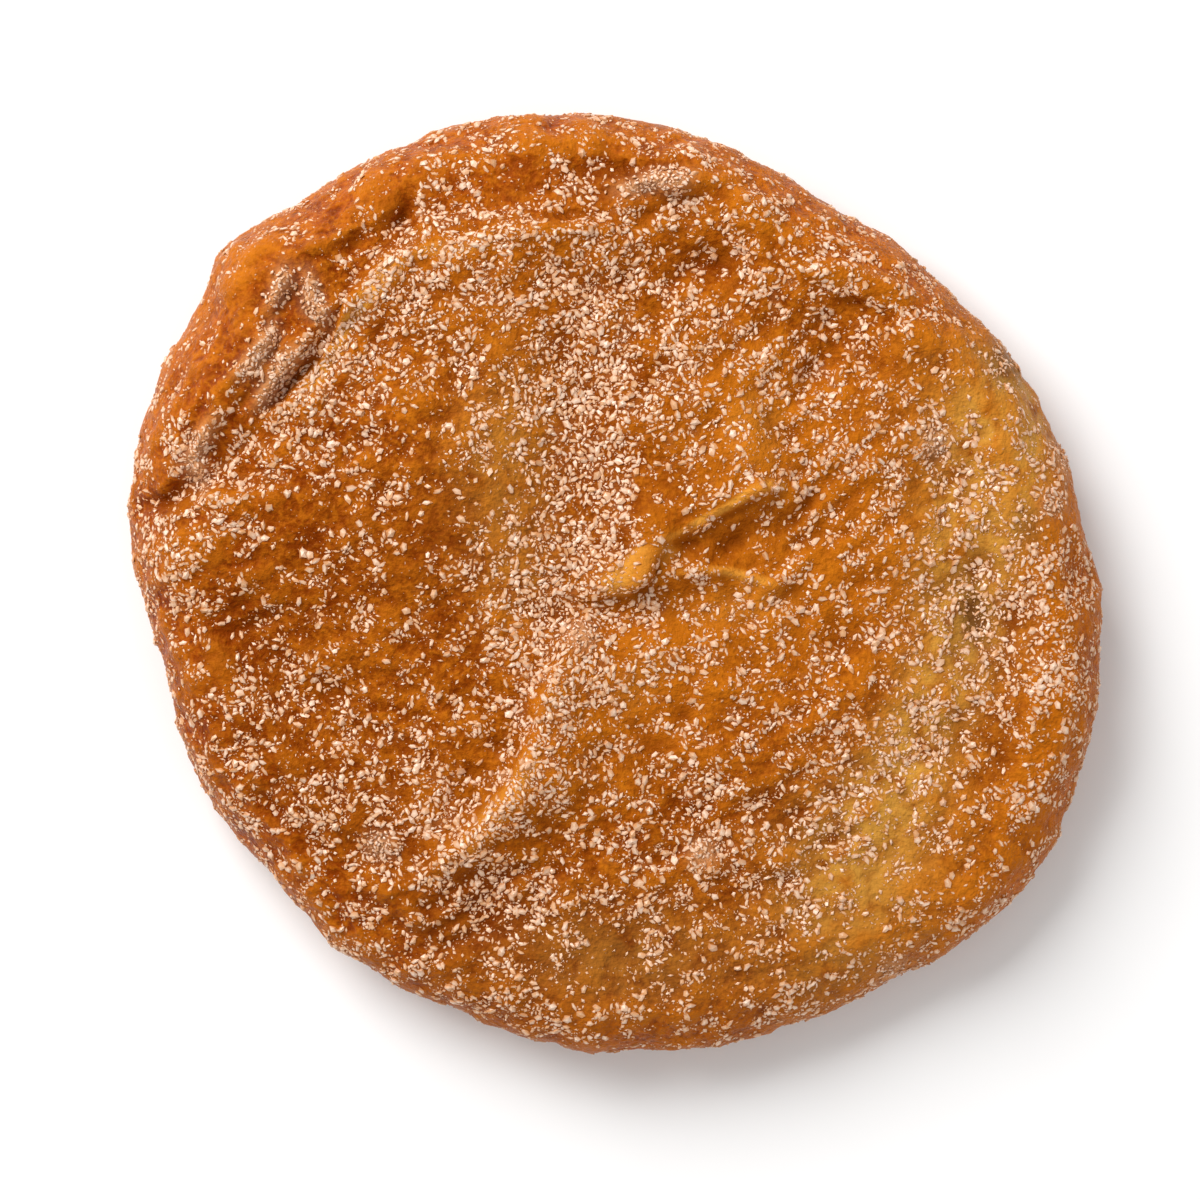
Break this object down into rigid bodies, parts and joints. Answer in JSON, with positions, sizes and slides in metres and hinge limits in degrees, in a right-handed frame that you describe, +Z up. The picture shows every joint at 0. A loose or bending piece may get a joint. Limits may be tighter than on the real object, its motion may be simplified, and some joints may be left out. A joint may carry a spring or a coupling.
{
  "type": "apple fritter",
  "caption": "Flat round of fried dough with a rolled rim, puffed pillows, folds and creases, coated in coarse sugar; a ready-to-eat pastry.",
  "frame": {"origin": "under the middle of the fritter's box, on the surface that it lies on", "axes": "+Z up through the fritter's thickness, +X along its widest direction, +Y to the edge that is at the top in the picture"},
  "size_m": [0.113, 0.1094, 0.0186],
  "materials": {
    "fried_dough": "browned fried crust, slightly oily, rough",
    "sugar": "coarse sugar crystals with cinnamon, translucent, sparkling"
  },
  "bodies": {
    "root": {"fritter": "fried_dough"}
  },
  "joints": []
}
